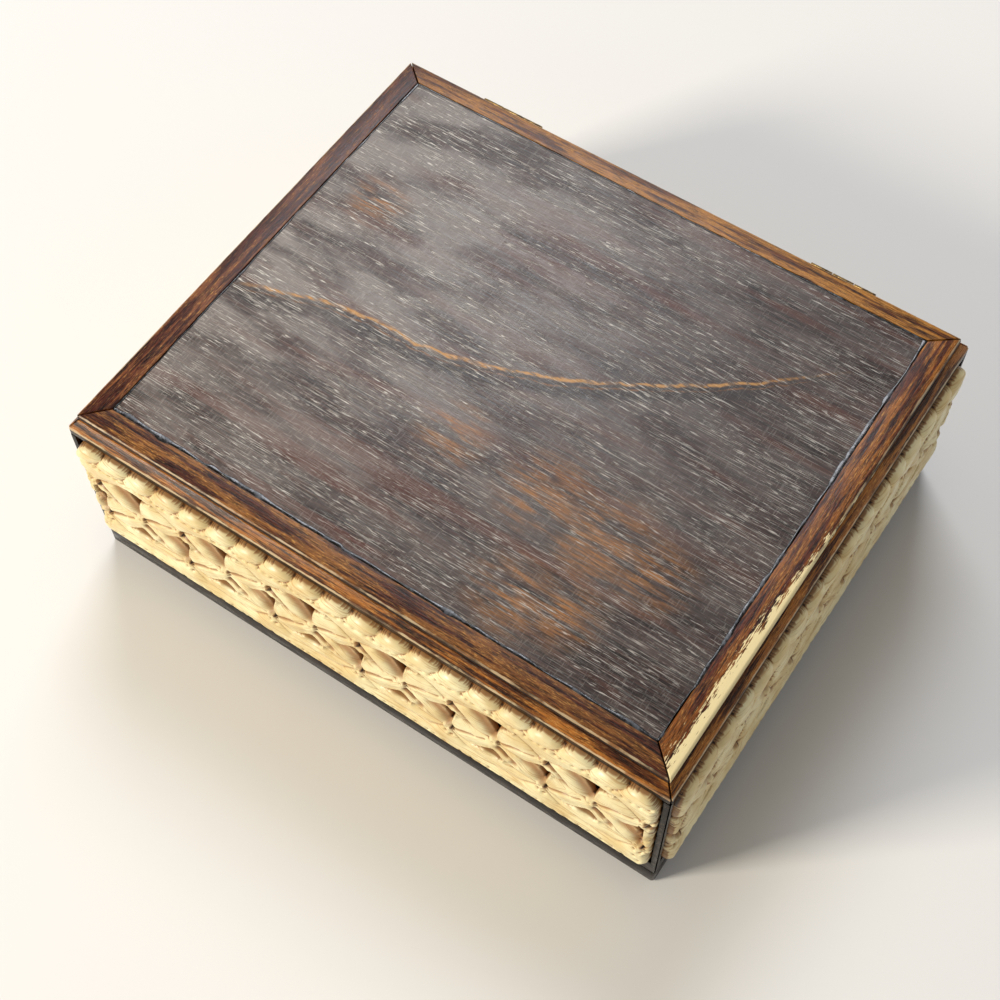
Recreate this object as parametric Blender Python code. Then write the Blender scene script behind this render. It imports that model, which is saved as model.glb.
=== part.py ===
"""Carved wooden jewelry box.

A dark case of a base board, four mitred walls and four rim strips carries an openwork carved
panel on each side.  A thin framed lid turns on two small butt hinges at the back.
Metres, +Z up, origin under the middle of the case, front at -Y, hinges at +Y.
"""

import math

import bmesh
import bpy
from mathutils import Vector
from mathutils.geometry import delaunay_2d_cdt

# Case
case_length = 0.150
case_width = 0.1255
rim_edge_height = 0.0495
base_thickness = 0.006
base_edge_round = 0.0007
wall_thickness = 0.006
joint_gap = 0.0003
overrun = 0.002

# Rim strips, which cap the walls and carry the lid
rim_fascia = 0.0023
rim_fall = 0.0022
rim_ledge = 0.0018
rim_edge_round = 0.0006

# Field for the carved panels in each wall
post_width = 0.0014
lower_rail = 0.0043
panel_recess = 0.0012

# Carved panels
panel_proud = 0.0020
border_edge_fall = 0.0008
end_border = 0.0028
carving_pitch = 0.0235
petal_half_width = 0.0036
low_petal_half_width = 0.0026
petal_edge_level = 0.0010
petal_crown_level = 0.0024
petal_rib_level = 0.0015
node_radius = 0.0014
node_level = 0.0019
rope_pitch = 0.0073
rope_lean = 0.0024
rope_scallop = 0.0013
rope_crown_level = 0.0025
rope_valley_level = 0.0016
rope_edge_level = 0.0007
end_scallop_pitch = 0.0058
end_scallop = 0.0006
panel_corner_radius = 0.0032
point_merge = 0.00001
lower_node_share = 0.26
middle_node_share = 0.465
upper_node_share = 0.62
rope_foot_share = 0.87
petal_crown_share = 0.5

# Holes, as shares of the carving's pitch along the panel and of the panel's height above the middle nodes
arch_hole_shares = ((-0.285, 0.253), (-0.153, 0.314), (-0.03, 0.333), (0.11, 0.328), (0.221, 0.308),
                    (0.128, 0.275), (0.068, 0.247), (0.043, 0.192), (0.021, 0.075), (-0.017, 0.139),
                    (-0.085, 0.228))
low_hole_shares = ((0.004, -0.104), (0.094, -0.183), (0.06, -0.225), (-0.026, -0.233), (-0.11, -0.214))
side_hole_shares = ((0.015, 0.111), (0.098, 0.061), (0.068, -0.006), (0.017, -0.156), (-0.021, -0.061),
                    (-0.085, -0.008), (-0.196, 0.0))

# Lid
lid_thickness = 0.0022
lid_edge_height = 0.0014
lid_edge_round = 0.0004
long_strip_width = 0.00525
short_strip_width = 0.00585
lid_panel_sink = 0.0001
lid_lining_thickness = 0.0018
lid_lining_clearance = 0.0008

# Floor lining
floor_lining_thickness = 0.0018
floor_lining_round = 0.0006

# Hinges
hinge_end_distance = 0.031
hinge_length = 0.016
leaf_thickness = 0.0004
leaf_margin = 0.0006
hinge_pin_radius = 0.00035
pin_head_radius = 0.0007
pin_head_thickness = 0.0005
nail_spacing = 0.0096
nail_head_radius = 0.0006
nail_head_thickness = 0.0004
nail_shank_radius = 0.0003
nail_length = 0.0013

# Counts of facets
petal_steps = 5
rope_steps = 4
end_steps = 3
node_sides = 7
curl_steps = 12
pin_sides = 16
nail_sides = 10

# Colours, as linear RGB
dark_stain = (0.030, 0.014, 0.008)
rim_stain = (0.115, 0.038, 0.012)
lid_stain = (0.055, 0.026, 0.018)
carved_wood = (0.62, 0.40, 0.17)
felt_colour = (0.16, 0.012, 0.018)
brass_colour = (0.58, 0.36, 0.11)

# Sizes that follow
rim_top = rim_edge_height + rim_fall
rim_bottom = rim_edge_height - rim_fascia
wall_bottom = base_thickness + joint_gap
wall_top = rim_bottom - joint_gap
panel_bottom = wall_bottom + lower_rail + joint_gap
panel_height = rim_bottom - joint_gap - panel_bottom
lid_underside = rim_top + joint_gap
lid_length = case_length - 2 * rim_ledge
lid_width = case_width - 2 * rim_ledge
knuckle_bore = hinge_pin_radius + joint_gap
knuckle_radius = knuckle_bore + leaf_thickness
axis_height = (rim_top + lid_underside) / 2
axis_y = lid_width / 2
leaf_reach = axis_y - (case_width / 2 - wall_thickness + leaf_margin)
notch_reach = knuckle_radius + joint_gap
nail_y = axis_y - (leaf_reach + notch_reach) / 2
hinge_reach = case_length / 2 - hinge_end_distance
hinge_positions = {"left": -hinge_reach, "right": hinge_reach}
sides = ("front", "right", "back", "left")


def clear_scene():
    """Remove every object, so that the box stands alone."""
    for thing in list(bpy.data.objects):
        bpy.data.objects.remove(thing, do_unlink=True)


def make_material(name, colour, roughness, metallic=0.0):
    """Return a plain shaded material."""
    material = bpy.data.materials.new(name)
    material.use_nodes = True
    shader = material.node_tree.nodes["Principled BSDF"]
    shader.inputs["Base Color"].default_value = (*colour, 1.0)
    shader.inputs["Roughness"].default_value = roughness
    shader.inputs["Metallic"].default_value = metallic
    return material


def mesh_from(name, points, faces):
    """Return a mesh of the given corners and faces, with its faces turned outwards."""
    work = bmesh.new()
    corners = [work.verts.new(point) for point in points]
    for face in faces:
        work.faces.new([corners[i] for i in face])
    bmesh.ops.recalc_face_normals(work, faces=work.faces)
    mesh = bpy.data.meshes.new(name)
    work.to_mesh(mesh)
    work.free()
    return mesh


def add_object(name, mesh, material, location=(0, 0, 0), turns=0):
    """Place a mesh as a named piece, turned by quarter turns about Z."""
    piece = bpy.data.objects.new(name, mesh)
    bpy.context.collection.objects.link(piece)
    piece.location = location
    piece.rotation_euler = (0, 0, turns * math.pi / 2)
    if material is not None:
        mesh.materials.clear()
        mesh.materials.append(material)
    return piece


def box_mesh(name, low, high):
    """Return a mesh box between two corners."""
    points = [(x, y, z) for x in (low[0], high[0]) for y in (low[1], high[1]) for z in (low[2], high[2])]
    faces = [(0, 1, 3, 2), (4, 6, 7, 5), (0, 4, 5, 1), (2, 3, 7, 6), (0, 2, 6, 4), (1, 5, 7, 3)]
    return mesh_from(name, points, faces)


def add_cutter(name, mesh, location=(0, 0, 0)):
    """Place a mesh that only cuts others."""
    cutter = add_object(name, mesh, None, location)
    cutter.hide_render = True
    cutter.display_type = "WIRE"
    return cutter


def cut(piece, cutter):
    """Take the cutter's shape out of the piece."""
    modifier = piece.modifiers.new("cut", "BOOLEAN")
    modifier.operation = "DIFFERENCE"
    modifier.solver = "EXACT"
    modifier.object = cutter


def ease_edges(piece, width):
    """Round the sharp edges of a piece a little."""
    modifier = piece.modifiers.new("eased edges", "BEVEL")
    modifier.width = width
    modifier.segments = 2
    modifier.limit_method = "ANGLE"


def smooth(piece, degrees):
    """Shade a piece smooth, with edges sharper than the angle kept."""
    piece.data.shade_smooth()
    piece.data.set_sharp_from_angle(angle=math.radians(degrees))


def prism_mesh(name, profile, x_ends):
    """Return a prism along X whose profile is a list of (y, z) and whose end at each point is x_ends."""
    count = len(profile)
    points = [(-x_ends[i], y, z) for i, (y, z) in enumerate(profile)]
    points += [(x_ends[i], y, z) for i, (y, z) in enumerate(profile)]
    faces = [tuple(range(count)), tuple(range(count, 2 * count))]
    for i in range(count):
        after = (i + 1) % count
        faces.append((i, after, count + after, count + i))
    return mesh_from(name, points, faces)


def turned_mesh(name, profile, sides):
    """Return a solid turned about Z from a list of (radius, z), whose ends are flat."""
    points = []
    for radius, z in profile:
        for k in range(sides):
            angle = 2 * math.pi * k / sides
            points.append((radius * math.cos(angle), radius * math.sin(angle), z))
    faces = [tuple(range(sides)), tuple(range((len(profile) - 1) * sides, len(profile) * sides))]
    for ring in range(len(profile) - 1):
        for k in range(sides):
            after = (k + 1) % sides
            low = ring * sides
            high = low + sides
            faces.append((low + k, low + after, high + after, high + k))
    return mesh_from(name, points, faces)


def arc(centre, radius, start, end, steps):
    """Return points on an arc, from one angle in degrees to another."""
    points = []
    for k in range(steps + 1):
        angle = math.radians(start + (end - start) * k / steps)
        points.append((centre[0] + radius * math.cos(angle), centre[1] + radius * math.sin(angle)))
    return points


def mitred_strip(name, outer_length, profile, slope=1.0):
    """Return a strip along X, mitred at both ends.

    The profile is a list of (depth, z), with depth measured inwards from the outer face, and the
    slope is how far the mitre runs along the strip for each unit of depth.
    """
    pull = joint_gap / 2 * math.hypot(1.0, slope)
    x_ends = [outer_length / 2 - depth * slope - pull for depth, z in profile]
    return prism_mesh(name, profile, x_ends)


def side_sizes(side):
    """Return the case's length along a side, and its reach across that side."""
    if side in ("front", "back"):
        return case_length, case_width
    return case_width, case_length


def side_location(side, reach):
    """Return the middle of a side's outer face at floor level."""
    angle = sides.index(side) * math.pi / 2
    return (reach / 2 * math.sin(angle), -reach / 2 * math.cos(angle), 0)


def build_base(material):
    """Make the board that the case stands on."""
    half_length = case_length / 2
    half_width = case_width / 2
    mesh = box_mesh("base_board", (-half_length, -half_width, 0), (half_length, half_width, base_thickness))
    ease_edges(add_object("base_board", mesh, material), base_edge_round)


def build_walls(material):
    """Make the four mitred walls, each with a shallow field for its carved panel."""
    profile = [(0, wall_bottom), (wall_thickness, wall_bottom), (wall_thickness, wall_top), (0, wall_top)]
    for side in sides:
        length, reach = side_sizes(side)
        mesh = mitred_strip("wall_" + side, length, profile)
        wall = add_object("wall_" + side, mesh, material, side_location(side, reach), sides.index(side))
        field_half = length / 2 - post_width
        field = box_mesh("field_" + side, (-field_half, -overrun, wall_bottom + lower_rail),
                         (field_half, panel_recess, wall_top + overrun))
        cutter = add_cutter("field_" + side, field)
        cutter.location = wall.location
        cutter.rotation_euler = wall.rotation_euler
        cut(wall, cutter)


def rim_profile():
    """Return the rim's section: fascia, rounded edge, falling ledge and the land under the lid."""
    lean = math.degrees(math.atan2(rim_fall, rim_ledge))
    tangent = rim_edge_round * math.tan(math.radians((90 - lean) / 2))
    edge = arc((rim_edge_round, rim_edge_height - tangent), rim_edge_round, 180, 90 + lean, 2)
    return [(wall_thickness, rim_bottom), (0, rim_bottom), *edge, (rim_ledge, rim_top), (wall_thickness, rim_top)]


def build_rim(material):
    """Make the four rim strips, with seats for the fixed leaves and their nails at the back."""
    for side in sides:
        length, reach = side_sizes(side)
        mesh = mitred_strip("rim_" + side, length, rim_profile())
        rim = add_object("rim_" + side, mesh, material, side_location(side, reach), sides.index(side))
        if side == "back":
            cut_hinge_seats(rim, "rim", rim_top, -1)


def cut_hinge_seats(piece, label, face_height, direction):
    """Cut each leaf's seat and its nails' holes into a strip, down (-1) or up (1) from its face."""
    depth = leaf_thickness + joint_gap
    shank = nail_length + joint_gap
    inner_y = axis_y - leaf_reach - joint_gap
    for hinge, x in hinge_positions.items():
        half = hinge_length / 2 + joint_gap
        heights = sorted((face_height + direction * depth, face_height - direction * overrun))
        seat = box_mesh("seat", (x - half, inner_y, heights[0]), (x + half, axis_y + overrun, heights[1]))
        cut(piece, add_cutter("seat_" + label + "_" + hinge, seat))
        heights = sorted((axis_height + direction * notch_reach, face_height - direction * overrun))
        notch_half = half + pin_head_thickness + joint_gap
        notch = box_mesh("notch", (x - notch_half, axis_y - notch_reach, heights[0]),
                         (x + notch_half, case_width / 2 + overrun, heights[1]))
        cut(piece, add_cutter("notch_" + label + "_" + hinge, notch))
        for number, offset in enumerate((-nail_spacing / 2, nail_spacing / 2), start=1):
            start, end = sorted((face_height, face_height + direction * shank))
            hole = turned_mesh("nail_hole", [(nail_shank_radius + joint_gap, start),
                                             (nail_shank_radius + joint_gap, end)], nail_sides)
            name = "nail_hole_{}_{}_{}".format(label, hinge, number)
            cut(piece, add_cutter(name, hole, (x + offset, nail_y, 0)))


def build_lid(frame_material, panel_material, felt):
    """Make the lid's panel, its four bevelled frame strips and its lining."""
    edge_top = lid_underside + lid_edge_height
    lid_top = lid_underside + lid_thickness
    for side in sides:
        long_side = side in ("front", "back")
        length = lid_length if long_side else lid_width
        reach = lid_width if long_side else lid_length
        width = long_strip_width if long_side else short_strip_width
        across = short_strip_width if long_side else long_strip_width
        profile = [(0, lid_underside), (0, edge_top - lid_edge_round), (lid_edge_round, edge_top),
                   (width, lid_top), (width, lid_underside)]
        mesh = mitred_strip("lid_strip_" + side, length, profile, across / width)
        strip = add_object("lid_strip_" + side, mesh, frame_material, side_location(side, reach),
                           sides.index(side))
        if side == "back":
            cut_hinge_seats(strip, "lid", lid_underside, 1)
    half_x = lid_length / 2 - short_strip_width - joint_gap
    half_y = lid_width / 2 - long_strip_width - joint_gap
    mesh = box_mesh("lid_panel", (-half_x, -half_y, lid_underside), (half_x, half_y, lid_top - lid_panel_sink))
    add_object("lid_panel", mesh, panel_material)
    half_x = case_length / 2 - wall_thickness - lid_lining_clearance
    half_y = case_width / 2 - wall_thickness - lid_lining_clearance
    lining_top = lid_underside - joint_gap
    mesh = box_mesh("lid_lining", (-half_x, -half_y, lining_top - lid_lining_thickness),
                    (half_x, half_y, lining_top))
    add_object("lid_lining", mesh, felt)


def build_floor_lining(felt):
    """Make the felt-covered card that lies on the base inside the walls."""
    half_x = case_length / 2 - wall_thickness - joint_gap
    half_y = case_width / 2 - wall_thickness - joint_gap
    low = base_thickness + joint_gap
    mesh = box_mesh("floor_lining", (-half_x, -half_y, low), (half_x, half_y, low + floor_lining_thickness))
    ease_edges(add_object("floor_lining", mesh, felt), floor_lining_round)


def inside(point, polygon):
    """Say whether a point lies inside a closed outline."""
    x, y = point
    found = False
    for (x1, y1), (x2, y2) in zip(polygon, polygon[1:] + polygon[:1]):
        if (y1 > y) != (y2 > y) and x < (x2 - x1) * (y - y1) / (y2 - y1) + x1:
            found = not found
    return found


class Petal:
    """A leaf between two nodes of the lattice, with an incised rib along its middle."""

    def __init__(self, start, end, half_width):
        self.half_width = half_width
        self.start = Vector(start)
        self.along = Vector(end) - self.start
        self.across = Vector((-self.along.y, self.along.x)).normalized()
        self.outline = self.line(1.0) + self.line(-1.0)[-2:0:-1]

    def width_at(self, share):
        """Return half the leaf's width at a share of its length."""
        place = min(max(share, 0), 1) * petal_steps
        step = min(math.floor(place), petal_steps - 1)
        widths = [self.half_width * math.sin(math.pi * k / petal_steps) for k in (step, step + 1)]
        return widths[0] + (widths[1] - widths[0]) * (place - step)

    def line(self, spread):
        """Return the points of a line along the leaf, from the rib (0) to either edge (1 or -1)."""
        points = []
        for k in range(petal_steps + 1):
            share = k / petal_steps
            point = self.start + self.along * share + self.across * self.width_at(share) * spread
            points.append((point.x, point.y))
        return points

    def level(self, point):
        """Return how far the leaf stands out at a point, or None for a point off the leaf."""
        offset = Vector(point) - self.start
        share = offset.dot(self.along) / self.along.length_squared
        slack = point_merge / self.along.length
        width = self.width_at(share)
        gap = abs(offset.dot(self.across))
        if not -slack <= share <= 1 + slack or gap > width + point_merge:
            return None
        if width < point_merge:
            return node_level
        spread = min(gap / width, 1)
        if spread < petal_crown_share:
            rise = spread / petal_crown_share
            shape = petal_rib_level + (petal_crown_level - petal_rib_level) * rise
        else:
            fall = (spread - petal_crown_share) / (1 - petal_crown_share)
            shape = petal_crown_level + (petal_edge_level - petal_crown_level) * fall
        tip = min(width / node_radius, 1)
        return node_level + (shape - node_level) * tip


class CarvedPanel:
    """An openwork panel: a leaf lattice in a border, with a rope edge along the top."""

    def __init__(self, length):
        self.length = length
        self.half = length / 2
        self.cells = max(1, round((length - 2 * end_border) / carving_pitch))
        self.pitch = (length - 2 * end_border) / self.cells
        self.low = lower_node_share * panel_height
        self.middle = middle_node_share * panel_height
        self.high = upper_node_share * panel_height
        self.rope_foot = rope_foot_share * panel_height
        self.ropes = max(1, round(length / rope_pitch))
        self.rope_width = length / self.ropes
        self.petals = []
        self.discs = []
        self.holes = []
        self.place_lattice()
        self.place_holes()
        self.outline = self.panel_outline()

    def cell_centres(self):
        """Return where the middle nodes stand along the panel."""
        return [(k - (self.cells - 1) / 2) * self.pitch for k in range(self.cells)]

    def place_lattice(self):
        """Place four leaves round each middle node, and a boss on every node."""
        reach = self.pitch / 2
        for x in self.cell_centres():
            for side in (-1, 1):
                for height in (self.low, self.high):
                    self.petals.append(Petal((x, self.middle), (x + side * reach, height), petal_half_width))
            self.petals.append(Petal((x - reach, self.low), (x + reach, self.low), low_petal_half_width))
            self.discs.append(self.disc((x, self.middle)))
        for k in range(self.cells + 1):
            x = (k - self.cells / 2) * self.pitch
            self.discs.append(self.disc((x, self.low)))
            self.discs.append(self.disc((x, self.high)))

    def disc(self, centre):
        """Return the outline of a node's boss."""
        return arc(centre, node_radius, 90, 450, node_sides)[:-1]

    def place_holes(self):
        """Place the holes over and under each middle node, and between the leaves."""
        for x in self.cell_centres():
            self.holes.append(self.hole(x, arch_hole_shares))
            self.holes.append(self.hole(x, low_hole_shares))
        for k in range(self.cells + 1):
            self.holes.append(self.hole((k - self.cells / 2) * self.pitch, side_hole_shares))

    def hole(self, x, shares):
        """Return a hole's outline, kept clear of the end borders."""
        reach = self.half - end_border
        points = []
        for across, up in shares:
            place = x + across * self.pitch
            points.append((min(max(place, -reach), reach), self.middle + up * panel_height))
        return [point for point, after in zip(points, points[1:] + points[:1]) if point != after]

    def corner_fall(self, x, radius):
        """Return how far a rounded corner drops at a distance along the panel."""
        past = max(0, abs(x) - (self.half - radius))
        return radius - math.sqrt(max(0, radius * radius - past * past))

    def rope_top(self, x):
        """Return the height of the scalloped top edge."""
        swell = abs(math.sin(math.pi * (x + self.half) / self.rope_width))
        return panel_height - rope_scallop * (1 - swell) - self.corner_fall(x, panel_corner_radius)

    def panel_outline(self):
        """Return the panel's outer outline: straight below, scalloped at the ends and the top."""
        points = []
        count = self.ropes * rope_steps
        for k in range(1, count):
            x = self.half - k * self.length / count
            points.append((x, self.rope_top(x)))
        rise = panel_height - panel_corner_radius
        lobes = max(1, round(rise / end_scallop_pitch))
        side = []
        for k in range(lobes * end_steps + 1):
            share = k / (lobes * end_steps)
            swell = abs(math.sin(math.pi * share * lobes))
            side.append((self.half - end_scallop * (1 - swell), share * rise))
        left = [(-x, z) for x, z in reversed(side)]
        return points + left + side

    def rope_lines(self):
        """Return the valleys and crowns of the rope, which lean across the band."""
        lines = []
        for k in range(1, 2 * self.ropes):
            top = self.half - k * self.rope_width / 2
            foot = top - rope_lean
            if abs(foot) < self.half - end_border and abs(top) < self.half - panel_corner_radius:
                lines.append([(foot, self.rope_foot), (top, self.rope_top(top))])
        return lines

    def covered(self, point):
        """Say whether wood is left at a point."""
        return not any(inside(point, hole) for hole in self.holes)

    def border_level(self, point):
        """Return how far the border and the rope stand out at a point."""
        x, z = point
        if z < self.rope_foot:
            edge = min(z, self.half - abs(x))
            return panel_proud - border_edge_fall * max(0, 1 - edge / end_border)
        top = self.rope_top(x)
        share = min(1, max(0, (z - self.rope_foot) / max(point_merge, top - self.rope_foot)))
        phase = (x - rope_lean * (share - 1) + self.half) / self.rope_width
        swell = abs(math.sin(math.pi * phase))
        full = rope_valley_level + (rope_crown_level - rope_valley_level) * swell
        return full + (rope_edge_level - full) * share * share

    def level(self, point):
        """Return how far the front surface stands out at a point."""
        levels = [petal.level(point) for petal in self.petals]
        levels = [level for level in levels if level is not None]
        return max(levels) if levels else self.border_level(point)

    def lines_of_front(self):
        """Return the points and the edges of every line that the carving keeps to."""
        loops = [self.outline] + self.holes + self.discs + [petal.outline for petal in self.petals]
        foot_reach = self.half - end_border
        spreads = (-petal_crown_share, 0, petal_crown_share)
        lines = [petal.line(spread)[1:-1] for petal in self.petals for spread in spreads]
        lines += self.rope_lines()
        lines.append([(-foot_reach, self.rope_foot), (foot_reach, self.rope_foot)])
        points = []
        edges = []
        for line in loops + lines:
            first = len(points)
            points += line
            edges += [(first + i, first + i + 1) for i in range(len(line) - 1)]
            if line in loops:
                edges.append((len(points) - 1, first))
        return points, edges

    def wooden(self, places, faces):
        """Return the triangles whose middles lie in wood."""
        kept = []
        for face in faces:
            middle = tuple(sum(places[i][axis] for i in face) / len(face) for axis in (0, 1))
            if inside(middle, self.outline) and self.covered(middle):
                kept.append(tuple(face))
        return kept

    def mesh(self, name):
        """Return the closed panel, with its bottom middle on the case's outer face at the origin."""
        points, edges = self.lines_of_front()
        found = delaunay_2d_cdt([Vector(point) for point in points], edges, [], 0, point_merge)
        places = [(place.x, place.y) for place in found[0]]
        faces = self.wooden(places, found[2])
        outer = outer_edges(faces)
        work = bmesh.new()
        front = {}
        for i in sorted({i for face in faces for i in face}):
            front[i] = work.verts.new((places[i][0], -self.level(places[i]), places[i][1]))
        for face in faces:
            work.faces.new([front[i] for i in face])
        chosen = sorted({i for edge in outer for i in edge})
        back = [work.verts.new((places[i][0], panel_recess - joint_gap, places[i][1])) for i in chosen]
        order = {i: k for k, i in enumerate(chosen)}
        for a, b in outer:
            work.faces.new((front[a], front[b], back[order[b]], back[order[a]]))
        flat_edges = [(order[a], order[b]) for a, b in outer]
        flat = delaunay_2d_cdt([Vector(places[i]) for i in chosen], flat_edges, [], 0, point_merge / len(chosen))
        flat_places = [(place.x, place.y) for place in flat[0]]
        for face in self.wooden(flat_places, flat[2]):
            work.faces.new([back[flat[3][i][0]] for i in face])
        bmesh.ops.recalc_face_normals(work, faces=work.faces)
        mesh = bpy.data.meshes.new(name)
        work.to_mesh(mesh)
        work.free()
        return mesh


def outer_edges(faces):
    """Return the edges that only one face uses."""
    counts = {}
    for face in faces:
        for a, b in zip(face, face[1:] + face[:1]):
            key = (min(a, b), max(a, b))
            counts[key] = counts.get(key, 0) + 1
    return [edge for edge, count in counts.items() if count == 1]


def build_carved_panels(material):
    """Make the carved panels; opposite sides share one carving."""
    carvings = {}
    for side in sides:
        length, reach = side_sizes(side)
        if length not in carvings:
            carvings[length] = CarvedPanel(length - 2 * (post_width + joint_gap)).mesh("carving")
        x, y, z = side_location(side, reach)
        panel = add_object("carved_panel_" + side, carvings[length], material, (x, y, panel_bottom),
                           sides.index(side))
        smooth(panel, 35)


def leaf_profile(direction):
    """Return a leaf's section in (y, z) about the pin: a plate whose end curls round the pin."""
    near = (lid_underside - rim_top) / 2
    far = near + leaf_thickness
    outer_start = 180 - math.degrees(math.asin(far / knuckle_radius))
    inner_end = 180 - math.degrees(math.asin(near / knuckle_bore))
    lip = 180 + math.degrees(math.asin(near / knuckle_radius))
    points = [(-leaf_reach, far)]
    points += arc((0, 0), knuckle_radius, outer_start, lip - 360, curl_steps)
    points += arc((0, 0), knuckle_bore, lip - 360, inner_end, curl_steps)
    points.append((-leaf_reach, near))
    return [(y, direction * z) for y, z in points]


def build_leaf(name, x, direction, keep_middle, material):
    """Make one leaf of a hinge, with its own knuckles and two holes for nails."""
    half = hinge_length / 2
    profile = leaf_profile(direction)
    mesh = prism_mesh(name, profile, [half] * len(profile))
    leaf = add_object(name, mesh, material, (x, axis_y, axis_height))
    third = hinge_length / 6
    if keep_middle:
        spans = [(-half - overrun, -third + joint_gap / 2), (third - joint_gap / 2, half + overrun)]
    else:
        spans = [(-third - joint_gap / 2, third + joint_gap / 2)]
    for number, (low, high) in enumerate(spans, start=1):
        slot = box_mesh("slot", (low, -notch_reach, -notch_reach), (high, notch_reach, notch_reach))
        cut(leaf, add_cutter("{}_slot_{}".format(name, number), slot, leaf.location))
    for number, offset in enumerate((-nail_spacing / 2, nail_spacing / 2), start=1):
        radius = nail_head_radius + joint_gap
        hole = turned_mesh("leaf_hole", [(radius, -notch_reach), (radius, notch_reach)], nail_sides)
        place = (x + offset, nail_y, axis_height)
        cut(leaf, add_cutter("{}_hole_{}".format(name, number), hole, place))


def build_pin(name, x, material):
    """Make a hinge pin, headed at both ends."""
    half = hinge_length / 2 + joint_gap
    end = half + pin_head_thickness
    profile = [(pin_head_radius, -end), (pin_head_radius, -half), (hinge_pin_radius, -half),
               (hinge_pin_radius, half), (pin_head_radius, half), (pin_head_radius, end)]
    pin = add_object(name, turned_mesh(name, profile, pin_sides), material, (x, axis_y, axis_height))
    pin.rotation_euler = (0, math.pi / 2, 0)
    smooth(pin, 35)


def build_nails(label, face_height, direction, material):
    """Make one leaf's nails for both hinges, each flush with its leaf."""
    profile = [(nail_head_radius, 0), (nail_head_radius, nail_head_thickness),
               (nail_shank_radius, nail_head_thickness), (nail_shank_radius, nail_length)]
    nail = turned_mesh("nail", [(radius, direction * z) for radius, z in profile], nail_sides)
    for hinge, x in hinge_positions.items():
        for number, offset in enumerate((-nail_spacing / 2, nail_spacing / 2), start=1):
            name = "{}_nail_{}_{}".format(label, hinge, number)
            add_object(name, nail, material, (x + offset, nail_y, face_height))


def build_hinges(material):
    """Make the two butt hinges and their nails."""
    for hinge, x in hinge_positions.items():
        build_leaf("hinge_{}_case_leaf".format(hinge), x, -1, False, material)
        build_leaf("hinge_{}_lid_leaf".format(hinge), x, 1, True, material)
        build_pin("hinge_{}_pin".format(hinge), x, material)
    build_nails("case", rim_top, -1, material)
    build_nails("lid", lid_underside, 1, material)


def main():
    """Build the whole box."""
    clear_scene()
    dark = make_material("dark stained wood", dark_stain, 0.35)
    rim = make_material("worn stained wood", rim_stain, 0.35)
    panel = make_material("stained open grain wood", lid_stain, 0.4)
    carved = make_material("carved pale wood", carved_wood, 0.55)
    felt = make_material("wine felt", felt_colour, 0.95)
    brass = make_material("brass", brass_colour, 0.35, 1.0)
    build_base(dark)
    build_walls(dark)
    build_rim(rim)
    build_lid(rim, panel, felt)
    build_floor_lining(felt)
    build_carved_panels(carved)
    build_hinges(brass)


main()
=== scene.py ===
"""Looks of a carved wooden jewelry box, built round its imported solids.

The box is a dark varnished case with an openwork carving on each side, worn stained strips round its
rim and lid, and an open-grain lid panel.  Metres, +Z up, front at -Y, hinges at +Y.
"""

import logging
import math
from dataclasses import dataclass
from enum import Enum

import bpy
import numpy as np
from mathutils import Matrix, Vector

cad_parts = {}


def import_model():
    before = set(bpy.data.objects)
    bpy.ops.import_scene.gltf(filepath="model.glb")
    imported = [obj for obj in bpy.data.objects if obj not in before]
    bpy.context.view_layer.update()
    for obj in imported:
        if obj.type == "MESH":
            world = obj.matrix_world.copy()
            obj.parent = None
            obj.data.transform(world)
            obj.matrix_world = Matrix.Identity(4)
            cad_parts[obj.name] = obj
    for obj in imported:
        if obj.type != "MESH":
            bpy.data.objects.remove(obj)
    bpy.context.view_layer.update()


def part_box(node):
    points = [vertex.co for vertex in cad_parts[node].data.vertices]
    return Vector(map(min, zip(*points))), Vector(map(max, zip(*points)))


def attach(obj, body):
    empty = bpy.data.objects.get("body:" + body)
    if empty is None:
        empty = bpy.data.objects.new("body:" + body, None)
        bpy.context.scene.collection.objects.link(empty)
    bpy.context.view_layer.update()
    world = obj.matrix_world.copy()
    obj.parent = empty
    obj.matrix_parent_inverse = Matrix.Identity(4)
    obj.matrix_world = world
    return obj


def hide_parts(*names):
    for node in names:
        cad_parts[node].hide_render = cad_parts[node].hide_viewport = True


LOG = logging.getLogger("jewelry_box")
MM = 0.001


class Side(Enum):
    """A side of the box, by its name in the frame and its quarter turns from the front."""

    FRONT = ("front", 0)
    RIGHT = ("right", 1)
    BACK = ("back", 2)
    LEFT = ("left", 3)

    @property
    def word(self) -> str:
        """The side's name."""
        return self.value[0]

    @property
    def turn(self) -> Matrix:
        """The turn about Z that brings a front piece to this side."""
        return Matrix.Rotation(self.value[1] * math.pi / 2, 4, "Z")

    @property
    def along_x(self) -> bool:
        """True for a side that runs along X."""
        return self.value[1] % 2 == 0


class Body(Enum):
    """The bodies of the frame."""

    CASE = "case"
    LID = "lid"


def colour(code: str) -> tuple:
    """Turn an sRGB hex colour into linear RGBA.

    Args:
        code: Six hex digits after a number sign.

    Returns:
        Red, green, blue and alpha.
    """
    channels = []
    for start in (1, 3, 5):
        share = int(code[start:start + 2], 16) / 255
        channels.append(share / 12.92 if share <= 0.04045 else ((share + 0.055) / 1.055) ** 2.4)
    return (*channels, 1.0)


def add_node(tree, kind: str, settings: dict | None = None, inputs: dict | None = None):
    """Add a shader node with its settings and links.

    Args:
        tree: The material's node tree.
        kind: The node's type.
        settings: Property values by name.
        inputs: Values or output sockets by input name or number.

    Returns:
        The new node.
    """
    node = tree.nodes.new(kind)
    for name, value in (settings or {}).items():
        setattr(node, name, value)
    wire(node, inputs or {})
    return node


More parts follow.
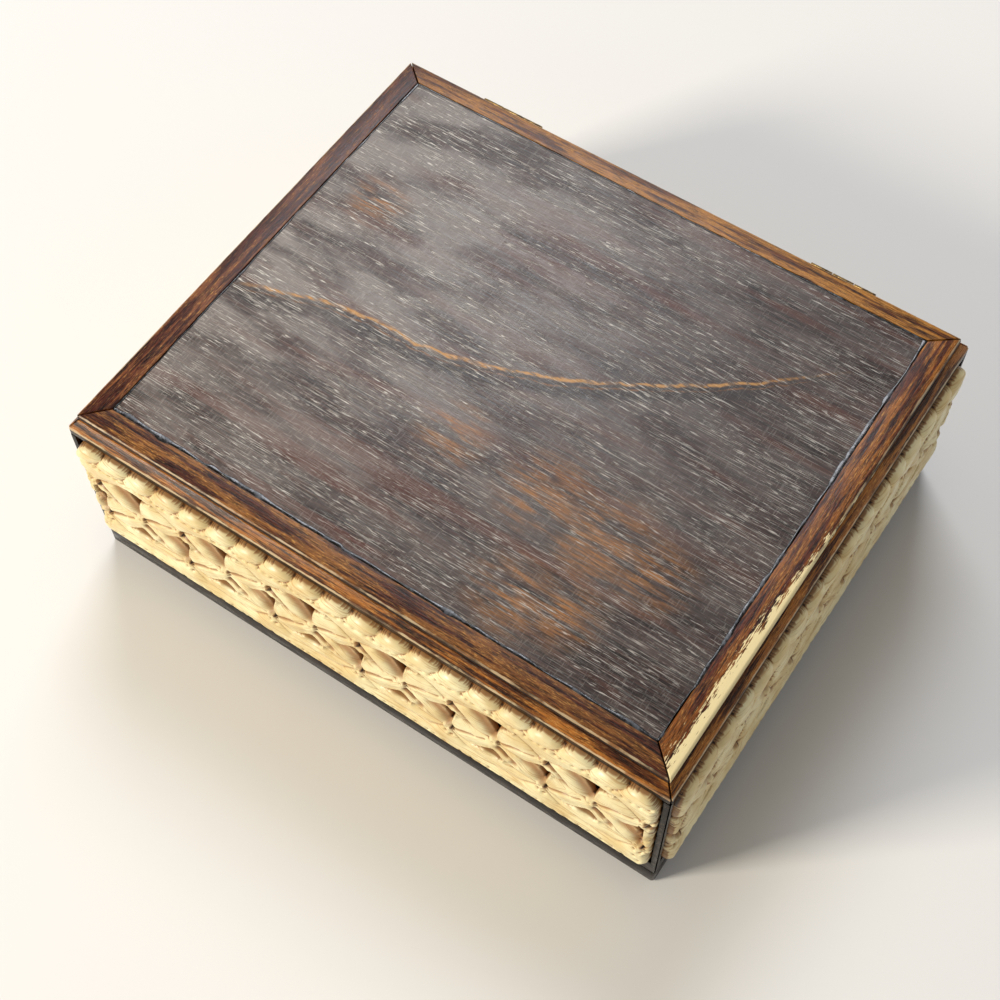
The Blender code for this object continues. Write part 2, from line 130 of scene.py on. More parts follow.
def wire(node, inputs: dict) -> None:
    """Set a node's inputs, by name or number, to values or to output sockets."""
    for socket, value in inputs.items():
        if isinstance(value, bpy.types.NodeSocket):
            node.id_data.links.new(value, node.inputs[socket])
        else:
            node.inputs[socket].default_value = value


def streaks(vector, size_mm: tuple, detail: float = 3.0, seed: float = 0.0):
    """Draw noise whose grains have a real size along each axis.

    Args:
        vector: The socket that gives the place in metres.
        size_mm: The grain's size along X, Y and Z in millimetres.
        detail: How many finer layers the noise has.
        seed: A shift that makes this noise unlike the others.

    Returns:
        The noise's value socket.
    """
    tree = vector.id_data
    scale = tuple(1 / (size * MM) for size in size_mm)
    mapping = add_node(tree, "ShaderNodeMapping", None, {
        "Vector": vector, "Scale": scale, "Location": (seed, seed * 1.7, seed * 0.6)})
    noise = add_node(tree, "ShaderNodeTexNoise", None, {
        "Vector": mapping.outputs["Vector"], "Scale": 1.0, "Detail": detail, "Roughness": 0.55})
    return noise.outputs["Fac"]


def ramp(value, low: float, high: float, start: float = 0.0, end: float = 1.0):
    """Map a value smoothly from one range to another, held at both ends.

    Args:
        value: The socket to map.
        low: The value that gives start.
        high: The value that gives end.
        start: The result at low.
        end: The result at high.

    Returns:
        The mapped value's socket.
    """
    node = add_node(value.id_data, "ShaderNodeMapRange", {"interpolation_type": "SMOOTHSTEP"}, {
        "Value": value, "From Min": low, "From Max": high, "To Min": start, "To Max": end})
    return node.outputs["Result"]


def maths(operation: str, first, second=0.0):
    """Combine two values.

    Args:
        operation: The Math node's operation.
        first: A value or a socket.
        second: A value or a socket.

    Returns:
        The result's socket.
    """
    tree = (first if isinstance(first, bpy.types.NodeSocket) else second).id_data
    return add_node(tree, "ShaderNodeMath", {"operation": operation}, {0: first, 1: second}).outputs[0]


def times(first, second):
    """Return the product of two values."""
    return maths("MULTIPLY", first, second)


def plus(first, second):
    """Return the sum of two values."""
    return maths("ADD", first, second)


def minus(first, second):
    """Return the first value less the second."""
    return maths("SUBTRACT", first, second)


def swing(noise, width: float):
    """Return noise that swings about zero over a width."""
    return times(minus(noise, 0.5), width)


def blend(share, first, second):
    """Mix two colours by a share.

    Args:
        share: The socket that says how much of the second shows.
        first: A hex colour or a socket.
        second: A hex colour or a socket.

    Returns:
        The mixed colour's socket.
    """
    ends = [colour(end) if isinstance(end, str) else end for end in (first, second)]
    node = add_node(share.id_data, "ShaderNodeMix", {"data_type": "RGBA"}, {0: share, 6: ends[0], 7: ends[1]})
    return node.outputs[2]


@dataclass(frozen=True)
class Finish:
    """A surface finish; each kind paints its own pattern."""

    name: str

    def material(self) -> bpy.types.Material:
        """Return the finish's material, made once."""
        found = bpy.data.materials.get(self.name)
        if found is None:
            found = bpy.data.materials.new(self.name)
            found.use_nodes = True
            tree = found.node_tree
            shader = tree.nodes["Principled BSDF"]
            place = add_node(tree, "ShaderNodeTexCoord").outputs["Object"]
            self.paint(shader, place)
        return found

    def paint(self, shader, place) -> None:
        """Paint the pattern onto the shader."""
        raise NotImplementedError

    @staticmethod
    def coat(shader, inputs: dict, height, depth_mm: float, strength: float) -> None:
        """Set the shader's inputs, and emboss it to a real depth by a height between 0 and 1."""
        bump = add_node(shader.id_data, "ShaderNodeBump", None, {
            "Height": height, "Distance": depth_mm * MM, "Strength": strength})
        wire(shader, {**inputs, "Normal": bump.outputs["Normal"]})


@dataclass(frozen=True)
class OpenGrainPanel(Finish):
    """Oak-like board under a worn dark stain: brown, pale in the open pores, amber where rubbed, with a painted grey
    reflection of the window towards the far left.
    """

    black: str = "#170f0d"
    brown: str = "#45302a"
    # The colour of the painted window reflection.
    grey: str = "#8f8781"
    pale: str = "#e6e0d6"
    red: str = "#5a2c1c"
    amber: str = "#9c6834"
    gold: str = "#b98543"
    row_mm: float = 1.35
    patches_mm: tuple = ((20, -22, 13), (35, -25, 15), (48, -26, 11), (27, -45, 12), (38, -43, 10), (-54, 21, 9),
                         (-4, -21, 10))
    vein_mm: tuple = ((-66, -15), (-54, -10.5), (-43, -7.5), (-33, -6.2), (-22, -6), (-11, -3.4),
                      (0, 0.4), (9, 4.1), (18, 9), (27, 14.7), (36, 20.8), (46, 29), (57, 39))
    vein_span_mm: float = 140.0

    def vein(self, x, y):
        """Return how far a place lies across the long amber vein, in metres."""
        span = self.vein_span_mm * MM
        shifted = maths("DIVIDE", plus(x, span / 2), span)
        curve = add_node(x.id_data, "ShaderNodeFloatCurve", None, {"Value": shifted})
        points = curve.mapping.curves[0].points
        shares = [(along / self.vein_span_mm + 0.5, across / self.vein_span_mm + 0.5)
                  for along, across in self.vein_mm]
        points[0].location = shares[0]
        points[-1].location = shares[-1]
        for share in shares[1:-1]:
            points.new(*share)
        curve.mapping.update()
        return minus(y, swing(curve.outputs[0], span))

    def rubbed(self, place):
        """Return where the stain is rubbed down to amber, from 0 to 1."""
        most = None
        for x, y, radius in self.patches_mm:
            gap = add_node(place.id_data, "ShaderNodeVectorMath", {"operation": "DISTANCE"}, {
                0: place, 1: (x * MM, y * MM, 0.054)}).outputs["Value"]
            spot = ramp(gap, radius * MM * 1.1, radius * MM * 0.1)
            most = spot if most is None else maths("MAXIMUM", most, spot)
        coarse = ramp(streaks(place, (15.0, 1.9, 4.0), 5.0, 4.0), 0.41, 0.55)
        fine = ramp(streaks(place, (4.5, 0.35, 4.0), 3.0, 4.5), 0.40, 0.60, 0.25, 1.0)
        return times(times(most, coarse), fine)

    def paint_vein(self, place, axes, stain):
        """Add the long amber vein, broken into dashes, with its dark lower border."""
        off = self.vein(axes[0], axes[1])
        wobble = swing(streaks(place, (5.0, 5.0, 5.0), 3.0, 5.0), 2.4 * MM)
        gap = plus(off, wobble)
        ends = times(ramp(axes[0], -0.068, -0.058), ramp(axes[0], 0.060, 0.040))
        under = maths("ABSOLUTE", plus(gap, 2.6 * MM))
        shade = times(ramp(under, 3.4 * MM, 1.2 * MM, 0.0, 0.62), ends)
        stain = blend(shade, stain, self.black)
        dashes = ramp(streaks(place, (2.6, 0.7, 2.0), 3.0, 6.0), 0.42, 0.56, 0.2, 1.0)
        line = times(ramp(maths("ABSOLUTE", gap), 0.75 * MM, 0.15 * MM), dashes)
        stain = blend(times(line, ends), stain, self.gold)
        faint = ramp(maths("ABSOLUTE", plus(gap, 1.7 * MM)), 0.35 * MM, 0.1 * MM, 0.0, 0.45)
        return blend(times(times(faint, dashes), ends), stain, self.amber)

    def flecks(self, place, axes):
        """Return the pale flecks of the open pores, which stand in rows, from 0 to 1."""
        wave = swing(streaks(place, (22.0, 6.0, 5.0), 3.0, 7.5), 5.0 * MM)
        turn = times(plus(axes[1], wave), 2 * math.pi / (self.row_mm * MM))
        rows = ramp(maths("SINE", turn), -0.3, 0.7, 0.18, 1.0)
        short = ramp(streaks(place, (2.6, 0.20, 2.0), 2.0, 7.0), 0.55, 0.64)
        thin = ramp(streaks(place, (11.0, 0.17, 2.0), 2.0, 7.2), 0.60, 0.68, 0.0, 0.8)
        groups = ramp(streaks(place, (16.0, 5.0, 5.0), 3.0, 8.0), 0.38, 0.58, 0.25, 1.0)
        return times(maths("MAXIMUM", times(short, rows), thin), groups)

    def paint(self, shader, place) -> None:
        """Paint the stain, the painted grey reflection of the window, the rubbed patches, the vein and the open pores.
        """
        axes = add_node(place.id_data, "ShaderNodeSeparateXYZ", None, {0: place}).outputs
        fibre = streaks(place, (8.0, 0.32, 2.0), 4.0, 1.0)
        cloud = streaks(place, (22.0, 8.0, 9.0), 5.0, 2.0)
        band = streaks(place, (60.0, 5.5, 9.0), 4.0, 3.0)
        stain = blend(ramp(fibre, 0.36, 0.64), self.black, self.brown)
        stain = blend(ramp(band, 0.50, 0.64, 0.0, 0.6), stain, self.red)
        # Painted reflection: a grey sheen of the window, strongest towards -X and +Y, broken up by cloud noise.
        painted_reflection_falloff = times(ramp(axes[0], 0.050, -0.070, 0.28, 1.0), ramp(axes[1], -0.062, 0.0, 0.45, 1.0))
        painted_reflection = times(ramp(cloud, 0.36, 0.62, 0.12, 0.80), painted_reflection_falloff)
        stain = blend(painted_reflection, stain, self.grey)
        stain = blend(times(self.rubbed(place), 0.95), stain, self.amber)
        stain = self.paint_vein(place, axes, stain)
        across = ramp(streaks(place, (0.24, 2.6, 2.0), 2.0, 9.0), 0.56, 0.70, 0.0, 0.18)
        pores = self.flecks(place, axes)
        # The pale pores show more where the painted reflection is strong, so part of their brightness is painted
        # reflection.
        seen = plus(times(painted_reflection_falloff, 0.45), 0.50)
        stain = blend(times(maths("MAXIMUM", pores, across), seen), stain, self.pale)
        self.coat(shader, {"Base Color": stain, "Roughness": ramp(fibre, 0.35, 0.65, 0.34, 0.52)},
                  minus(fibre, times(pores, 0.9)), 0.14, 0.8)


@dataclass(frozen=True)
class WornStrip(Finish):
    """Thin stained softwood strip: dark in the grain, amber where rubbed, raw wood along worn edges, a pale top arris
    that is partly wear and partly painted highlight, and a near-black outer face that is partly dark wood and partly
    painted shade.
    """

    along_x: bool = True
    dark: str = "#1f0e09"
    middle: str = "#5a2b15"
    bright: str = "#9a5a24"
    glint: str = "#c9944c"
    raw: str = "#e9d6a2"
    # The colour of the outer face below the top edge: partly dark wood, partly painted shade.
    dark_and_shaded_face: str = "#0e0907"
    # The colour of the pale top arris: partly worn raw wood, partly painted highlight.
    edge: str = "#cdb893"
    rubbed_share: float = 0.5
    rubbed_ends: tuple = (1.0, 1.0)
    edge_mm: tuple = (73.05, 60.8)
    edge_height_mm: float = 53.35
    edge_width_mm: float = 0.34
    edge_share: float = 0.65
    bare_from_mm: float | None = None
    bare_width_mm: float = 2.3

    def lengthwise(self, size_mm: tuple) -> tuple:
        """Turn a grain size to run along the strip."""
        long_way, short_way, deep = size_mm
        return (long_way, short_way, deep) if self.along_x else (short_way, long_way, deep)

    def grain(self, size_mm: tuple, detail: float, seed: float, place):
        """Draw noise along the strip."""
        return streaks(place, self.lengthwise(size_mm), detail, seed)

    def paint_bare(self, place, axes, inset, stain):
        """Add the bare wood that widens in streaks towards the front corner."""
        reach = ramp(axes[1], self.bare_from_mm * MM, -0.030, -1.4, self.bare_width_mm)
        coarse = swing(self.grain((5.5, 0.9, 2.0), 4.0, 15.0, place), 5.0)
        fine = swing(self.grain((2.2, 0.22, 2.0), 3.0, 16.0, place), 6.0)
        depth = maths("DIVIDE", inset, MM)
        left = minus(plus(reach, plus(coarse, fine)), depth)
        return blend(ramp(left, 0.0, 0.35), stain, self.raw)

    def paint(self, shader, place) -> None:
        """Paint the grain, the rubbed stain, the worn edges with their painted highlight, and the painted shade on the
        outer face.
        """
        axes = add_node(place.id_data, "ShaderNodeSeparateXYZ", None, {0: place}).outputs
        run = axes[0] if self.along_x else axes[1]
        fibre = self.grain((5.0, 0.24, 0.24), 4.0, 11.0, place)
        patch = self.grain((20.0, 1.5, 1.5), 5.0, 12.0, place)
        speck = self.grain((1.3, 0.19, 0.19), 3.0, 13.0, place)
        pore = self.grain((2.4, 0.17, 0.17), 2.0, 13.5, place)
        stain = blend(ramp(fibre, 0.38, 0.62), self.dark, self.middle)
        low = 0.62 - 0.2 * self.rubbed_share
        ends = ramp(run, -0.070, 0.070, *self.rubbed_ends)
        rubbed = times(ramp(patch, low - 0.07, low + 0.07), ends)
        grainy = times(rubbed, ramp(fibre, 0.34, 0.56, 0.30, 1.0))
        stain = blend(grainy, stain, self.bright)
        shine = times(ramp(speck, 0.56, 0.66), plus(times(rubbed, 0.6), 0.15))
        stain = blend(shine, stain, self.glint)
        stain = blend(ramp(pore, 0.56, 0.66, 0.0, 0.7), stain, self.dark)
        cross = axes[1] if self.along_x else axes[0]
        inset = minus((self.edge_mm[1] if self.along_x else self.edge_mm[0]) * MM, maths("ABSOLUTE", cross))
        drop = minus(axes[2], self.edge_height_mm * MM)
        off = maths("SQRT", plus(times(inset, inset), times(drop, drop)))
        # The pale arris line: partly wear, partly a painted highlight along the rounded edge.
        ragged = swing(self.grain((3.0, 3.0, 3.0), 5.0, 14.0, place), 1.6 * self.edge_width_mm * MM)
        worn = ramp(plus(off, ragged), self.edge_width_mm * MM,
                    self.edge_width_mm * MM * 0.55, 0.0, self.edge_share)
        broken = ramp(self.grain((7.0, 7.0, 7.0), 4.0, 14.5, place), 0.40, 0.54, 0.15, 1.0)
        # The outer face below the top edge turns near black: partly dark wood, partly painted shade.
        face = ramp(drop, -0.15 * MM, -0.45 * MM, 0.0, 0.92)
        stain = blend(face, stain, self.dark_and_shaded_face)
        stain = blend(times(worn, broken), stain, self.edge)
        if self.bare_from_mm is not None:
            stain = self.paint_bare(place, axes, inset, stain)
        self.coat(shader, {"Base Color": stain, "Roughness": ramp(speck, 0.35, 0.65, 0.26, 0.44),
                           "Specular IOR Level": 0.22}, fibre, 0.08, 0.7)


@dataclass(frozen=True)
class VarnishedCase(Finish):
    """Nearly black varnish on wood: glossy, with a little brown in the grain."""

    black: str = "#0c0807"
    brown: str = "#21140e"

    def paint(self, shader, place) -> None:
        """Paint the dark varnish."""
        grain = streaks(place, (12.0, 12.0, 0.5), 4.0, 21.0)
        smear = streaks(place, (5.0, 5.0, 2.0), 4.0, 22.0)
        stain = blend(ramp(grain, 0.42, 0.66), self.black, self.brown)
        self.coat(shader, {"Base Color": stain, "Roughness": ramp(smear, 0.35, 0.65, 0.20, 0.40),
                           "Specular IOR Level": 0.3}, grain, 0.06, 0.5)


@dataclass(frozen=True)
class CarvedLime(Finish):
    """Pale carved wood, clear varnished: cream on the crowns, with fine fibres, and painted shade, amber and dark
    brown, in the cuts and hollows and on the inner walls of the holes.
    """

    crown: str = "#f1e5b6"
    body: str = "#e0c991"
    fibre: str = "#b98a4c"
    # Painted shade colours: amber in the cuts and on the hole walls, dark brown in the deepest hollows.
    cut: str = "#96602c"
    deep: str = "#2e180a"

    def paint(self, shader, place) -> None:
        """Paint the crowns, the fibres that follow each leaf, and painted shade in the cuts, the deep hollows and on
        the inner walls of the holes.
        """
        tree = shader.id_data
        run = add_node(tree, "ShaderNodeUVMap", {"uv_map": "grain"}).outputs["UV"]
        recess_shade, wall = [add_node(tree, "ShaderNodeAttribute", {"attribute_name": name}).outputs["Fac"]
                        for name in ("recess_shade", "wall")]
        fine = streaks(run, (7.0, 0.26, 1.0), 3.0, 31.0)
        broad = streaks(place, (8.0, 8.0, 8.0), 3.0, 32.0)
        wood = blend(ramp(broad, 0.36, 0.64), self.body, self.crown)
        front = ramp(wall, 0.0, 0.08, 1.0, 0.0)
        grain = times(ramp(fine, 0.52, 0.66, 0.0, 0.55), front)
        wood = blend(grain, wood, self.fibre)
        # Painted shade: amber in the shallow cuts and hollows, dark brown in the deepest ones.
        wood = blend(ramp(recess_shade, 0.06, 0.45, 0.0, 0.85), wood, self.cut)
        wood = blend(ramp(recess_shade, 0.45, 0.90, 0.0, 0.95), wood, self.deep)
        # Painted shade on the inner walls of the holes.
        wood = blend(ramp(wall, 0.10, 0.80, 0.0, 0.95), wood, self.cut)
        self.coat(shader, {"Base Color": wood, "Roughness": ramp(fine, 0.35, 0.65, 0.34, 0.50)}, fine, 0.07, 0.6)


@dataclass(frozen=True)
class BlackFiller(Finish):
    """Shiny black filler smeared into the joint round the lid panel."""

    black: str = "#0d0b0b"
    dust: str = "#3f4348"

    def paint(self, shader, place) -> None:
        """Paint the filler and the dust caught on it."""
        lumps = streaks(place, (1.6, 1.6, 1.6), 4.0, 41.0)
        stain = blend(ramp(lumps, 0.54, 0.70), self.black, self.dust)
        self.coat(shader, {"Base Color": stain, "Roughness": ramp(lumps, 0.40, 0.65, 0.16, 0.42)}, lumps, 0.10, 0.8)


@dataclass(frozen=True)
class WoolFelt(Finish):
    """Wine-coloured wool felt: matt, with short crossed fibres."""

    dark: str = "#4a1219"
    light: str = "#7d2530"

    def paint(self, shader, place) -> None:
        """Paint the felt's fibres."""
        nap = streaks(place, (0.5, 0.5, 0.5), 5.0, 51.0)
        cloud = streaks(place, (14.0, 14.0, 14.0), 2.0, 52.0)
        both = plus(times(nap, 0.7), times(cloud, 0.3))
        wool = blend(ramp(both, 0.36, 0.64), self.dark, self.light)
        self.coat(shader, {"Base Color": wool, "Roughness": 0.95, "Sheen Weight": 0.35}, nap, 0.25, 0.8)


@dataclass(frozen=True)
class AgedBrass(Finish):
    """Rolled brass, dulled with age: gold where rubbed and brown in the corners."""

    bright: str = "#9c7c45"
    dull: str = "#4d3820"

    def paint(self, shader, place) -> None:
        """Paint the tarnish."""
        tarnish = streaks(place, (1.4, 1.4, 1.4), 4.0, 61.0)
        metal = blend(ramp(tarnish, 0.45, 0.62), self.bright, self.dull)
        self.coat(shader, {"Base Color": metal, "Roughness": ramp(tarnish, 0.40, 0.65, 0.24, 0.50),
                           "Metallic": 1.0}, tarnish, 0.02, 0.5)


@dataclass(frozen=True)
class PaleFloor(Finish):
    """Matt pale studio floor."""

    pale: str = "#e6e4e0"
    paler: str = "#eae8e4"

    def paint(self, shader, place) -> None:
        """Paint an almost even pale floor."""
        cloud = streaks(place, (300.0, 300.0, 300.0), 1.0, 71.0)
        wire(shader, {"Base Color": blend(cloud, self.pale, self.paler), "Roughness": 0.9})


LID_BOARD = OpenGrainPanel("open grain lid board")
CASE_VARNISH = VarnishedCase("black brown case varnish")
LIME = CarvedLime("carved lime wood")
FILLER = BlackFiller("black joint filler")
FELT = WoolFelt("wine wool felt")
BRASS = AgedBrass("aged brass")
FLOOR = PaleFloor("pale studio floor")
LID_STRIPS = {
    Side.FRONT: WornStrip("front lid strip", True, "#1d0e0a", "#54291a", "#93602f", rubbed_share=0.62,
                          rubbed_ends=(1.0, 0.65)),
    Side.RIGHT: WornStrip("right lid strip", False, "#190906", "#5d2a14", "#9c5f24", rubbed_share=0.58,
                          rubbed_ends=(0.5, 1.0), bare_from_mm=26.0),
    Side.BACK: WornStrip("back lid strip", True, "#20100a", "#6a3815", "#ad7430", rubbed_share=0.66,
                         rubbed_ends=(0.7, 1.0)),
    Side.LEFT: WornStrip("left lid strip", False, "#1c0c09", "#552718", "#86512f", rubbed_share=0.42,
                         rubbed_ends=(1.0, 0.5)),
}
# The rim strips' pale arris is partly wear, partly painted highlight; their outer face is partly dark wood, partly
# painted shade.
RIM_STRIPS = {
    side: WornStrip(side.word + " rim strip", side.along_x, "#180c08", "#5c3015", "#a8692c", rubbed_share=0.62,
                    edge_mm=(74.85, 62.6), edge_height_mm=49.35, edge_width_mm=0.42, edge_share=0.8)
    for side in Side
}


def deselect() -> None:
    """Leave no object selected."""
    if bpy.context.object and bpy.context.object.mode != "OBJECT":
        bpy.ops.object.mode_set(mode="OBJECT")
    bpy.ops.object.select_all(action="DESELECT")


def activate(piece) -> None:
    """Make a piece the only selected and the active object."""
    deselect()
    piece.select_set(True)
    bpy.context.view_layer.objects.active = piece


def settle(piece) -> None:
    """Bring a piece's place into its mesh, so that the object sits at the origin, unturned."""
    activate(piece)
    bpy.ops.object.transform_apply(location=True, rotation=True, scale=True)


def dress(piece, name: str, finish: Finish, body: Body, slot: str, *nodes: str) -> None:
    """Name and finish a piece, and tie it to the frame.

    Args:
        piece: The finished mesh object, at the origin.
        name: The piece's name.
        finish: Its finish.
        body: The body that it moves with.
        slot: Not used.
        nodes: The frame's nodes that it stands for.
    """
    piece.name = name
    piece.data.name = name
    piece.data.materials.clear()
    piece.data.materials.append(finish.material())
    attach(piece, body.value)
    if nodes:
        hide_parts(*nodes)
    LOG.info("%s: %d faces", name, len(piece.data.polygons))


def eased_copy(node: str, width_mm: float, segments: int = 3):
    """Copy a solid of the frame and ease its edges, as sanding and handling do.

    Args:
        node: The frame's node.
        width_mm: The width of the eased edge.
        segments: How many facets round the edge.

    Returns:
        The new object.
    """
    source = bpy.data.objects[node]
    piece = source.copy()
    piece.data = source.data.copy()
    piece.parent = None
    piece.matrix_world = Matrix.Identity(4)
    for key in [key for key in piece.keys() if key.startswith("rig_")]:
        del piece[key]
    bpy.context.scene.collection.objects.link(piece)
    activate(piece)
    bpy.ops.object.mode_set(mode="EDIT")
    bpy.ops.mesh.select_all(action="SELECT")
    bpy.ops.mesh.remove_doubles(threshold=0.005 * MM)
    bpy.ops.mesh.dissolve_limited(angle_limit=math.radians(1))
    bpy.ops.object.mode_set(mode="OBJECT")
    bevel = piece.modifiers.new("eased", "BEVEL")
    bevel.width = width_mm * MM
    bevel.segments = segments
    bevel.limit_method = "ANGLE"
    bevel.angle_limit = math.radians(28)
    bpy.ops.object.modifier_apply(modifier=bevel.name)
    bpy.ops.object.shade_smooth_by_angle(angle=math.radians(40))
    return piece


Outline = tuple[tuple[float, float], ...]


@dataclass(frozen=True)
class Motif:
    """One repeat of the carving, in millimetres from its middle node, along and up.

    Each of the cuts names its lines, its depth and width, and the share of painted shade that it holds.
    """

    arch: Outline = ((-6.7, 9.1), (-5.2, 10.4), (-3.4, 11.4), (-0.7, 12.0), (2.4, 11.9), (5.2, 11.1), (3.0, 9.9),
                     (1.6, 8.9), (1.1, 6.9), (0.7, 4.4), (0.4, 2.6), (0.0, 2.8), (-0.5, 4.6), (-1.6, 7.0),
                     (-3.8, 9.3))
    kite: Outline = ((12.0, 4.1), (13.5, 2.9), (14.3, 1.7), (13.6, 0.4), (13.0, -2.3), (12.1, -5.4), (11.7, -2.6),
                     (10.8, -1.0), (9.2, -0.4), (7.0, 0.0), (8.9, 1.5), (10.6, 2.9))
    triangle: Outline = ((0.1, -3.75), (1.4, -5.1), (2.3, -6.7), (1.9, -7.9), (-0.4, -8.3), (-2.5, -7.9),
                         (-6.5, -9.0), (-3.4, -7.0), (-1.6, -5.4))
    ribs: tuple = (((1.3, 0.9), (2.6, 2.3), (4.9, 4.3), (6.6, 5.1)), ((-10.6, -7.0), (-9.0, -5.4), (-6.8, -3.6),
                                                                      (-5.2, -2.8)))
    faint_ribs: tuple = (((6.6, 5.1), (8.2, 5.7), (9.8, 6.0)), ((-5.2, -2.8), (-3.4, -2.0), (-2.2, -1.3)),
                         ((-9.6, 3.0), (-6.6, 1.6), (-3.6, 1.2)), ((5.6, -3.4), (7.6, -5.4), (9.6, -6.6)))
    heads: tuple = (((1.5, -2.1), (2.6, -2.4), (3.6, -3.1)), ((-10.4, 5.5), (-9.2, 5.4), (-8.0, 4.8)))
    scoops: tuple = (((4.6, -3.5), (5.2, -4.4), (4.9, -5.4)), ((-7.4, 3.9), (-6.6, 3.0), (-6.2, 1.9)))
    rolls: tuple = (((7.6, -1.0), (9.6, -1.6), (11.0, -3.0), (11.9, -5.6)), ((-5.0, 8.6), (-3.0, 7.2), (-1.2, 4.4),
                                                                            (-0.3, 2.4)))
    seams: tuple = (((1.2, -0.3), (7.0, 0.0)), ((14.4, 1.2), (16.0, 0.9), (22.3, 0.3)), ((-6.5, -9.0), (-10.6, -8.0)),
                    ((2.3, -6.9), (5.0, -7.9), (10.6, -8.0)), ((5.2, 11.1), (8.4, 9.4), (11.2, 6.8)),
                    ((-6.7, 9.1), (-9.4, 7.6), (-11.0, 6.4)), ((-11.0, -8.8), (-7.0, -12.0), (0.0, -13.0),
                                                              (7.0, -12.0), (11.0, -8.8)))
    nodes: Outline = ((0.0, 0.0), (11.75, 5.6), (11.75, -7.4))
    cuts: tuple = (("ribs", 1.30, 0.50, 1.0), ("faint_ribs", 0.50, 0.36, 0.5), ("heads", 1.40, 0.75, 1.0),
                   ("scoops", 0.80, 0.95, 0.45))
    dots: Outline = ((3.6, -7.5), (15.0, 1.1), (-0.2, 13.4), (12.1, 9.2), (11.2, -10.2), (12.6, -10.6))

    @staticmethod
    def rounded(points: Outline, times: int = 2) -> list:
        """Cut an outline's corners, as many times as said, which rounds them."""
        for _ in range(times):
            cut = []
            for (ax, az), (bx, bz) in zip(points, points[1:] + points[:1]):
                cut.append((0.82 * ax + 0.18 * bx, 0.82 * az + 0.18 * bz))
                cut.append((0.18 * ax + 0.82 * bx, 0.18 * az + 0.82 * bz))
            points = cut
        return points


Grid = np.ndarray


def bell(gap: Grid, width: float) -> Grid:
    """Return a smooth bump, 1 where the gap is nothing and falling off over a width."""
    return np.exp(-((gap / width) ** 2))


def line_gap(x: Grid, z: Grid, points) -> Grid:
    """Return how far places lie from a line through points, all in millimetres."""
    nearest = np.full_like(x, np.inf)
    for (ax, az), (bx, bz) in zip(points[:-1], points[1:]):
        run_x, run_z = bx - ax, bz - az
        share = np.clip(((x - ax) * run_x + (z - az) * run_z) / (run_x ** 2 + run_z ** 2), 0, 1)
        nearest = np.minimum(nearest, np.hypot(x - ax - share * run_x, z - az - share * run_z))
    return nearest


def outline_depth(x: Grid, z: Grid, points) -> Grid:
    """Return how deep places lie inside a closed outline, negative outside it."""
    points = list(points)
    inside = np.zeros(x.shape, dtype=bool)
    for (ax, az), (bx, bz) in zip(points, points[1:] + points[:1]):
        if az != bz:
            inside ^= ((az > z) != (bz > z)) & (x < ax + (z - az) * (bx - ax) / (bz - az))
    gap = line_gap(x, z, points + points[:1])
    return np.where(inside, gap, -gap)


